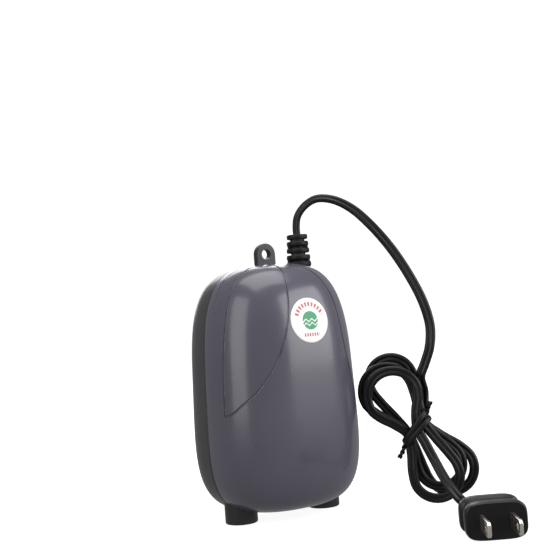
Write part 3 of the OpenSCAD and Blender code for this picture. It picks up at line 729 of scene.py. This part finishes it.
# Half width, half height and place along the plug, from the sleeve's end to the face
PLUG_PROFILE = [(7.6, 4.8, 13.5), (9.0, 5.7, 13.9), (9.7, 6.1, 14.6), (10.0, 6.25, 16.6),
                (10.4, 6.6, 17.4), (12.2, 7.5, 17.8), (12.9, 7.95, 18.6), (13.0, 8.0, 20.2),
                (12.8, 7.9, 21.4), (12.1, 7.4, 22.1), (11.3, 6.9, 22.6), (10.8, 6.6, 23.6),
                (10.7, 6.55, 26.0), (11.0, 6.7, 28.4), (11.6, 7.1, 29.3), (12.4, 7.6, 29.9),
                (12.9, 7.95, 30.8), (13.0, 8.0, 33.0), (13.0, 8.0, 34.8), (12.75, 7.8, 35.6),
                (12.3, 7.4, 36.0), (10.0, 5.6, 36.0), (2.0, 1.2, 36.0)]
for half_x, half_y, z in PLUG_PROFILE:
    plug_rings.append(rounded_ring(half_x, half_y, z, 4.2))
plug = loft("plug_moulding", plug_rings)
finish_piece(plug, black_plastic, ("plug_body",), sharp=28)


BLADE_X = 6.35
BLADE_HALF_WIDE = 3.175
BLADE_HALF_THICK = 0.75
BLADE_HOLE_Z = 49


def blade(side):
    """A flat pin with a chamfered tip and a locking hole."""
    half = BLADE_HALF_WIDE
    outline = [(-half, 33), (-half, 51.4), (-2.0, 53), (2.0, 53), (half, 51.4), (half, 33)]
    verts = [plug_point(side * BLADE_X + dx, y, z)
             for dx in (-BLADE_HALF_THICK, BLADE_HALF_THICK) for y, z in outline]
    n = len(outline)
    faces = [tuple(range(n)), tuple(range(n, 2 * n))[::-1]]
    faces += [(k, (k + 1) % n, n + (k + 1) % n, n + k) for k in range(n)]
    obj = new_object("pin", verts, faces)
    outward(obj)
    edge = obj.modifiers.new("edge", "BEVEL")
    edge.width = 0.22 * MM
    edge.segments = 2
    bake(obj)
    cut(obj, rod("hole", plug_point(side * BLADE_X - 3, 0, BLADE_HOLE_Z),
                 plug_point(side * BLADE_X + 3, 0, BLADE_HOLE_Z), 1.6))
    return obj


blades = join("plug_pins", [blade(-1), blade(1)])
finish_piece(blades, blade_metal, ("plug_blades",), sharp=30)

# ---- the case ----
def signed_power(value, power):
    return np.sign(value) * np.abs(value) ** power


def outline_power(height):
    return np.where(height > 0, TOP_POWER, BOTTOM_POWER)


def share_out(height):
    """Reach of the outline at a height from -1 to 1, before its taper."""
    e = outline_power(height)
    return np.maximum(0, 1 - np.abs(height) ** e) ** (1 / e)


def nodes_along(power, count, extra=()):
    """Angles that cut a superellipse quarter turn, twice over, into nearly equal steps."""
    fine = np.linspace(0, math.pi, 8001)
    x = signed_power(np.cos(fine), 2 / power)
    y = np.sin(fine) ** (2 / power)
    run_fine = np.concatenate([[0], np.cumsum(np.hypot(np.diff(x), np.diff(y)))])
    where = list(np.linspace(0, run_fine[-1], count))
    where += list(extra) + [run_fine[-1] - e for e in extra]
    return np.interp(np.array(sorted(where)), run_fine, fine)


# The skin turns in a little at the seam, and these extra steps next to it carry that turn
SEAM_STEPS = (0.006, 0.012, 0.018)
SEAM_LIP = 0.5
# How far from level 1 a point may be and still count as on the skin
ON_SKIN = 0.0008


def skin(depth, power, inset, heights, turns):
    """Points of a shell's skin, row by row from the top, from -X to +X."""
    rows = []
    for up in heights:
        tall = (UPPER_HEIGHT if up > 0 else LOWER_HEIGHT) - inset
        out = float(share_out(np.array(up)))
        deep = np.sin(turns) ** (2 / power)
        lip = SEAM_LIP * np.exp(-deep * abs(depth) / 0.35) if inset == 0 else 0.0
        x = -(HALF_WIDTH - inset - lip) * out * (1 - TAPER * up) * signed_power(np.cos(turns), 2 / power)
        y = seam + np.sign(depth) * (abs(depth) - inset) * out * (1 - TAPER / 2 * up) * deep
        z = np.full_like(x, MID_Z + tall * up)
        rows.append(np.stack([x, y, z], axis=1))
    return rows


def shell(name, depth, power):
    """A closed shell: outer skin, inner skin and the rim that joins them at the seam."""
    falls = nodes_along(3.8, 150)[1:-1]
    heights = []
    for fall in falls:
        bend = TOP_POWER if fall < math.pi / 2 else BOTTOM_POWER
        heights.append(float(signed_power(np.cos(fall), 2 / bend)))
    turns = nodes_along(power, 120, SEAM_STEPS)
    outer = skin(depth, power, 0, heights, turns)
    inner = skin(depth, power, WALL, heights, turns)
    wide = len(turns)
    size = len(heights) * wide
    verts = [p for row in outer for p in row] + [p for row in inner for p in row]
    poles = [(0, seam, MID_Z + UPPER_HEIGHT), (0, seam, MID_Z + UPPER_HEIGHT - WALL),
             (0, seam, MID_Z - LOWER_HEIGHT), (0, seam, MID_Z - LOWER_HEIGHT + WALL)]
    top_out, top_in, low_out, low_in = range(2 * size, 2 * size + 4)
    verts += poles
    last = len(heights) - 1
    faces = []
    for i in range(last):
        for j in range(wide - 1):
            a, b = i * wide + j, (i + 1) * wide + j
            faces.append((a, a + 1, b + 1, b))
            faces.append((size + a, size + b, size + b + 1, size + a + 1))
        for j in (0, wide - 1):
            a, b = i * wide + j, (i + 1) * wide + j
            faces.append((a, b, size + b, size + a))
    for j in range(wide - 1):
        faces.append((top_out, j + 1, j))
        faces.append((top_in, size + j, size + j + 1))
        a = last * wide + j
        faces.append((low_out, a, a + 1))
        faces.append((low_in, size + a + 1, size + a))
    for j in (0, wide - 1):
        faces.append((top_out, j, size + j, top_in))
        a = last * wide + j
        faces.append((low_out, low_in, size + a, a))
    obj = new_object(name, verts, faces)
    outward(obj)
    return obj


def skin_level(points, depth, power):
    """A smooth level for points in millimetres: 1 on a shell's outer skin and less inside it."""
    tall = np.where(points[:, 2] > MID_Z, UPPER_HEIGHT, LOWER_HEIGHT)
    up = np.clip((points[:, 2] - MID_Z) / tall, -1, 1)
    e = outline_power(up)
    x = np.abs(points[:, 0]) / (HALF_WIDTH * (1 - TAPER * up))
    y = np.abs(points[:, 1] - seam) / (abs(depth) * (1 - TAPER / 2 * up))
    side = (x**power + y**power) ** (1 / power)
    return (side**e + np.abs(up) ** e) ** (1 / e)


def skin_normals(points, depth, power):
    """The skin's outward directions at points on it."""
    step = 0.02
    parts = []
    for axis in range(3):
        shift = np.zeros(3)
        shift[axis] = step
        ahead = skin_level(points + shift, depth, power)
        parts.append(ahead - skin_level(points - shift, depth, power))
    normals = np.stack(parts, axis=1)
    return normals / np.maximum(np.linalg.norm(normals, axis=1), 1e-12)[:, None]


def on_skin(point, depth, power):
    """The skin's point on the line from the middle of the case through the given point."""
    middle = np.array([0, seam, MID_Z])
    ray = np.array(point, float) - middle
    low, high = 0.5, 1.6
    for _ in range(40):
        share = (low + high) / 2
        inside = skin_level((middle + share * ray)[None, :], depth, power)[0] < 1
        low, high = (share, high) if inside else (low, share)
    return middle + low * ray


def true_normals(obj, depth, power):
    """Gives the outer skin its exact normals, so that cuts leave no ripples in the gloss."""
    shade(obj, 30)
    mesh = obj.data
    count = len(mesh.loops)
    corners = np.empty(count * 3)
    mesh.corner_normals.foreach_get("vector", corners)
    corners = corners.reshape(-1, 3)
    which = np.empty(count, int)
    mesh.loops.foreach_get("vertex_index", which)
    places = np.empty(len(mesh.vertices) * 3)
    mesh.vertices.foreach_get("co", places)
    places = places.reshape(-1, 3)[which] / MM
    starts = np.empty(len(mesh.polygons), int)
    mesh.polygons.foreach_get("loop_start", starts)
    totals = np.empty(len(mesh.polygons), int)
    mesh.polygons.foreach_get("loop_total", totals)
    exact = skin_normals(places, depth, power)
    near = np.abs(skin_level(places, depth, power) - 1) < ON_SKIN
    # A face belongs to the skin when all its corners lie on it
    use = np.repeat(np.logical_and.reduceat(near, starts), totals)
    corners[use] = exact[use]
    mesh.normals_split_custom_set(corners.tolist())


# Grooves of the front. The outer arcs and the shoulder lines mirror each other, and the inner arc on
# the cord's side bulges further out than the left one
LEFT_OUTER = [(-36.8, -11.5, 52.7), (-36.2, -11.4, 69), (-35.5, -11.8, 80), (-34, -12.3, 92),
              (-32, -12.2, 102), (-29, -11.6, 109.5), (-24, -10.1, 116), (-20, -9.9, 118.6),
              (-13, -7.5, 121.2), (-4.6, -9, 121.7)]
LEFT_INNER = [(-4.6, -9, 121.7), (-4.2, -16, 120), (-5.4, -21, 117), (-6.9, -25, 112),
              (-8.4, -28.4, 103.5), (-10.3, -30, 95.6), (-12.5, -30.3, 88), (-16, -30, 80),
              (-21.4, -28.2, 70.4), (-27.4, -24.7, 62.5), (-32.2, -19.9, 57.6), (-35.6, -14.5, 53.2),
              (-36.8, -11.5, 52.7)]
RIGHT_INNER = [(4.6, -9, 121.7), (8.4, -16, 120), (13, -20.5, 115.5), (16.5, -23.6, 109.5),
               (18.9, -25.3, 103), (20.1, -26.6, 95), (21.4, -27.1, 87), (23, -26.8, 78.5),
               (25.6, -25.5, 69), (28.8, -23.5, 60.5), (32.4, -19.6, 54.8), (35.6, -14.5, 52.8),
               (36.8, -11.5, 52.7)]
SHOULDER_LINE = [(-14, -3, 121), (-20, -2.8, 119), (-25, -2.6, 116.5), (-29, -2.6, 112),
                 (-31.5, -3.2, 106), (-33.4, -4.4, 98)]


def mirrored(points):
    return [(-x, y, z) for x, y, z in points]


def groove(name, lines, radius):
    """Round cutters that follow the front skin, one along each line of points."""
    parts = []
    for points in lines:
        line = catmull(points, 1.0)
        line = np.array([on_skin(p, FRONT_DEPTH, FRONT_POWER) for p in line])
        line = evenly(line, 1.0)
        askew = np.array([0.1, 0.2, 1.0])
        parts.append(sweep(name, line, disc(radius, 12), askew, [0.0] * len(line)))
    return join(name, parts)


def openings():
    """Cutters for the outlets and the strain relief."""
    cutters = [rod("outlet", (x, seam, -3), (x, seam, COLLAR_TOP + 2), COLLAR_R + 0.1, 64)
               for x in (-OUTLET_X, OUTLET_X)]
    cutters.append(rod("relief", (RELIEF_X, seam, 105), (RELIEF_X, seam, 130), 4.1))
    return cutters


front = shell("front_case", -FRONT_DEPTH, FRONT_POWER)
cut(front, *openings())
cut(front, groove("outer_arcs", [LEFT_OUTER, mirrored(LEFT_OUTER)], 0.5),
    groove("inner_arcs", [LEFT_INNER, RIGHT_INNER], 0.55),
    groove("shoulder_lines", [SHOULDER_LINE, mirrored(SHOULDER_LINE)], 0.3))
finish_piece(front, case_front, ("front_shell",))
true_normals(front, FRONT_DEPTH, FRONT_POWER)

POSTS = [(-10, 10.3), (10, 10.3), (-25, 100), (25, 100)]
# Across, height, how far behind the seam the foot's way starts, and which foot
FEET = [(-23, 36, 24.8, "lower_left"), (23, 36, 24.8, "lower_right"),
        (-21, 92, 23.8, "upper_left"), (21, 92, 23.8, "upper_right")]
INTAKE_RING_R = 5
rear = shell("rear_case", REAR_DEPTH, REAR_POWER)
rear_cutters = openings()
for x, z in POSTS:
    rear_cutters.append(rod("screw_way", (x, seam + 10, z), (x, rear_face + 2, z), 2.6))
for x, z, floor_y, _ in FEET:
    rear_cutters.append(rod("foot_way", (x, seam + floor_y, z), (x, rear_face + 4, z), 5.1))
for k in range(7):
    ring_r = 0 if k == 6 else INTAKE_RING_R
    dx = ring_r * math.cos(math.radians(60 * k))
    z = INTAKE_Z + ring_r * math.sin(math.radians(60 * k))
    rear_cutters.append(rod("intake", (dx, seam + 20, z), (dx, rear_face + 2, z), 1.3, 24))
cut(rear, *rear_cutters)
finish_piece(rear, case_rear, ("rear_shell",))
true_normals(rear, REAR_DEPTH, REAR_POWER)

# ---- the label ----
def label_spot(r, turn, lift):
    """A point of the label, at a distance and angle from its middle, lifted off the front skin."""
    x, z = BADGE_X + r * math.cos(turn), BADGE_Z + r * math.sin(turn)
    surface = on_skin((x, seam - 30, z), FRONT_DEPTH, FRONT_POWER)
    for _ in range(6):
        surface = on_skin((x, surface[1], z), FRONT_DEPTH, FRONT_POWER)
    out = skin_normals(surface[None, :], FRONT_DEPTH, FRONT_POWER)[0]
    return surface + lift * out


LABEL_LIFT = 0.28
label_profile = [(0.05, LABEL_LIFT)] + [(0.75 * k, LABEL_LIFT) for k in range(1, 14)]
label_profile += [(10.2, LABEL_LIFT), (10.4, 0.24), (BADGE_R, 0.12), (BADGE_R, -0.2), (5, -0.4), (0.05, -0.4)]
label_rings = []
for r, lift in label_profile:
    label_rings.append([label_spot(r, t, lift) for t in full_turn(96)])
badge = loft("front_label", label_rings)
finish_piece(badge, badge_print, ("front_badge",), sharp=40)

# ---- hanging tab ----
def tab_outline(grow):
    """The tab's outline: straight sides and a round head."""
    half = TAB_HALF + grow
    points = [(-half, TAB_ROOT), (-half, TAB_Z)]
    for degrees in range(6, 180, 6):
        a = math.radians(degrees)
        points.append((-half * math.cos(a), TAB_Z + half * math.sin(a)))
    return points + [(half, TAB_Z), (half, TAB_ROOT)]


# How much the outline grows at each share of the tab's thickness
TAB_EDGE = [(-1.0, -0.5), (-0.35, -0.48), (-0.08, -0.40), (0, -0.28), (0, 0.28), (-0.08, 0.40),
            (-0.35, 0.48), (-1.0, 0.5)]
tab_rings = []
for grow, depth in TAB_EDGE:
    tab_rings.append([(x, seam + depth * TAB_THICK, z) for x, z in tab_outline(grow)])
tab = loft("hanging_tab", tab_rings)
cut(tab, rod("hook_hole", (0, seam - 6, TAB_Z), (0, seam + 6, TAB_Z), 2.5, 56))
finish_piece(tab, tab_grey, ("hang_tab",), sharp=32)

# ---- strain relief ----
RIBS = 5
RIB_PITCH = 3.4
RIB_THICK = 2.4
relief_rings = []


def relief_ring(z, radius):
    """One ring of the relief; radius may depend on the angle."""
    ring = []
    for k in range(96):
        a = 2 * math.pi * k / 96
        r = radius(a) if callable(radius) else radius
        ring.append((RELIEF_X + r * math.cos(a), seam + r * math.sin(a), z))
    return ring


def bridged(core, outer, phase):
    """Core radius, with two bridges out to the flanges' radius."""
    def radius(angle):
        return core + (outer - core) * float(smoothstep(0.72, 0.86, abs(math.cos(angle + phase))))
    return radius


# The neck inside the case, and the step up to the first flange
RELIEF_NECK = [(-8, 3.9), (-1.2, 3.9), (-0.4, 4.2), (0.2, 5.6)]
# Below a flange's top, and how much smaller its radius is there
FLANGE_EDGE = [(RIB_THICK, 0.45), (RIB_THICK - 0.25, 0.12), (RIB_THICK - 0.6, 0.0), (0.6, 0.0),
               (0.25, 0.12), (0.0, 0.45)]
for up, r in RELIEF_NECK:
    relief_rings.append(relief_ring(RELIEF_BASE + up, r))
for k in range(RIBS - 1, -1, -1):
    top = RELIEF_TOP - k * RIB_PITCH
    outer_r = 5.15 + 0.25 * k
    for dz, dr in FLANGE_EDGE:
        relief_rings.append(relief_ring(top - dz, outer_r - dr))
    if k:
        gap = bridged(3.6, outer_r - 0.5, math.radians(35 + 90 * (k % 2)))
        relief_rings.append(relief_ring(top + 0.12, gap))
        relief_rings.append(relief_ring(top + RIB_PITCH - RIB_THICK - 0.12, gap))
relief_rings.append(relief_ring(RELIEF_TOP + 0.05, 3.2))
relief_rings.append(relief_ring(RELIEF_TOP - 0.4, 2.5))
relief = loft("cord_sleeve", relief_rings)
finish_piece(relief, soft_black, ("strain_relief",), sharp=40)

# ---- outlets ----
COLLAR_PROFILE = [(7.0, 0.0), (7.4, 0.1), (7.7, 0.4), (7.8, 0.9), (7.8, COLLAR_TOP),
                  (2.6, COLLAR_TOP), (2.6, 11), (6.4, 11), (6.4, 0.8), (6.5, 0.3), (6.7, 0.05)]
NOZZLE_PROFILE = [(1.2, 1.3), (1.3, 1.05), (1.6, 1.0), (1.78, 1.15), (1.9, 1.6), (2.2, 3.0),
                  (2.2, 8.2), (2.35, 8.7), (2.8, NOZZLE_FLOOR), (6.3, NOZZLE_FLOOR), (6.3, 11),
                  (2.5, 11), (2.5, 21), (1.2, 21)]
SIDES = ((-1, "left"), (1, "right"))
for side, word in SIDES:
    centre = (side * OUTLET_X, seam, 0)
    finish_piece(lathe("collar_" + word, COLLAR_PROFILE, centre, segments=96),
                 collar_plastic, ("outlet_collar_" + word,), sharp=30)
    finish_piece(lathe("nozzle_" + word, NOZZLE_PROFILE, centre), nozzle_black,
                 ("outlet_nozzle_" + word,), sharp=30)

# ---- feet ----
inner_wall = seam + REAR_DEPTH - WALL
for x, z, floor_y, word in FEET:
    y0 = seam + floor_y
    # A stem with a barb inside the case, then the pad
    profile = [(0.05, inner_wall - 6.5), (2.0, inner_wall - 6.5), (2.6, inner_wall - 6.1),
               (2.4, inner_wall - 5.3), (1.8, inner_wall - 5.0), (1.8, y0), (4.8, y0),
               (5.0, y0 + 0.3), (5.0, foot_face - 1.0), (4.8, foot_face - 0.3), (4.3, foot_face),
               (3.6, foot_face), (3.3, foot_face - 0.35), (0.05, foot_face - 0.45)]
    foot = lathe("foot_" + word + "_pad", profile, (x, 0, z), axis="y")
    finish_piece(foot, foot_black, ("foot_" + word,), sharp=30)

# ---- diaphragms ----
# The boss swings with the arm; the dished web with its flange is a piece of its own that is put on no body
DIAPHRAGM_Z = 500 * (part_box("diaphragm_left")[0][2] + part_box("diaphragm_left")[1][2])
WEB_FIXED = 13.0
WEB_MOVING = 11.2
WEB_PROFILE = [(1.3, 9.7), (3.5, 9.7), (3.7, 10.2), (4.6, 10.5), (5.6, 11.2), (6.6, 12.1),
               (7.6, 12.8), (8.4, WEB_FIXED), (11.0, WEB_FIXED), (11.0, 14.5), (8.4, 14.5),
               (7.4, 14.3), (6.4, 13.7), (5.4, 12.7), (4.4, 11.6), (3.5, WEB_MOVING),
               (1.3, WEB_MOVING)]
BOSS_PROFILE = [(1.3, WEB_MOVING), (3.4, WEB_MOVING), (3.5, 11.3), (3.5, 15.1), (3.2, 15.4),
                (0.05, 15.4), (0.05, 14.2), (1.3, 14.2)]
CHAMBER_SCREWS_R = 10.8
for side, word in SIDES:
    middle = (0, seam, DIAPHRAGM_Z)
    web = lathe("diaphragm_" + word + "_web", [(r, side * h) for r, h in WEB_PROFILE], middle, "x")
    for turn in range(45, 360, 90):
        y = seam + CHAMBER_SCREWS_R * math.cos(math.radians(turn))
        z = DIAPHRAGM_Z + CHAMBER_SCREWS_R * math.sin(math.radians(turn))
        cut(web, rod("screw_way", (side * 11, y, z), (side * 16, y, z), 0.95, 24))
    shade(web, 40)
    web.data.materials.append(diaphragm_black)
    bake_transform(web)
    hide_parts("diaphragm_" + word)
    boss = lathe("diaphragm_" + word + "_boss", [(r, side * h) for r, h in BOSS_PROFILE], middle, "x")
    finish_piece(boss, diaphragm_black, body="arm_" + word)

# ---- stage ----
def backdrop():
    """A floor that curves up into a wall behind the pump, in metres until the last step."""
    back = Vector((0.543, 0.840, 0)).normalized()
    side = Vector((back.y, -back.x, 0))
    half_wide = 2.5
    bend_at = 1.2
    bend_r = 0.8
    profile = [(-2.5, 0), (bend_at, 0)]
    for degrees in range(6, 91, 6):
        a = math.radians(degrees)
        profile.append((bend_at + bend_r * math.sin(a), bend_r - bend_r * math.cos(a)))
    profile.append((bend_at + bend_r, 3.0))
    verts = [(back * d + side * s + Vector((0, 0, h))) / MM
             for s in (-half_wide, half_wide) for d, h in profile]
    n = len(profile)
    obj = new_object("backdrop", verts, [(k, k + 1, n + k + 1, n + k) for k in range(n - 1)])
    shade(obj, 30)
    return obj


floor = backdrop()
paper = moulded("backdrop_paper", (0.30, 0.30, 0.30), (0.8, 0.95), 300, 0.0, 0.0, 0.01)
# The paper glows, so that it is white in the picture without lighting the pump from below
glow = paper.node_tree.nodes["Principled BSDF"].inputs
glow["Emission Color"].default_value = (1, 1, 1, 1)
glow["Emission Strength"].default_value = 0.9
floor.data.materials.append(paper)
floor.visible_diffuse = False
floor.visible_glossy = False

world = bpy.data.worlds.new("studio")
world.use_nodes = True
# The world lights the pump softly, and is plain white where it is seen behind the floor's edge
ambient = world.node_tree.nodes["Background"]
ambient.inputs["Color"].default_value = (1, 1, 1, 1)
ambient.inputs["Strength"].default_value = 0.32
seen = world.node_tree.nodes.new("ShaderNodeBackground")
seen.inputs["Color"].default_value = (1, 1, 1, 1)
pick = world.node_tree.nodes.new("ShaderNodeMixShader")
rays = world.node_tree.nodes.new("ShaderNodeLightPath")
world.node_tree.links.new(rays.outputs["Is Camera Ray"], pick.inputs[0])
world.node_tree.links.new(ambient.outputs[0], pick.inputs[1])
world.node_tree.links.new(seen.outputs[0], pick.inputs[2])
world.node_tree.links.new(pick.outputs[0], world.node_tree.nodes["World Output"].inputs[0])
bpy.context.scene.world = world


def softbox(name, place, size, power):
    """A rectangular lamp that faces the middle of the case."""
    target = (0, 0, 0.06)
    data = bpy.data.lights.new(name, "AREA")
    data.shape = "RECTANGLE"
    data.size, data.size_y = size
    data.energy = power
    lamp = bpy.data.objects.new(name, data)
    bpy.context.scene.collection.objects.link(lamp)
    lamp.location = place
    lamp.rotation_euler = (Vector(target) - Vector(place)).to_track_quat("-Z", "Y").to_euler()


softbox("left_box", (-0.95, -0.20, 0.42), (0.62, 0.9), 4)
softbox("front_box", (0.72, -1.0, 0.50), (1.2, 1.0), 14)
softbox("top_box", (0.0, -0.1, 1.1), (1.0, 0.9), 8)
softbox("back_box", (0.40, 1.0, 0.55), (0.8, 0.8), 6)

# Shows the whites and the greys as they are lit
bpy.context.scene.view_settings.view_transform = "Standard"
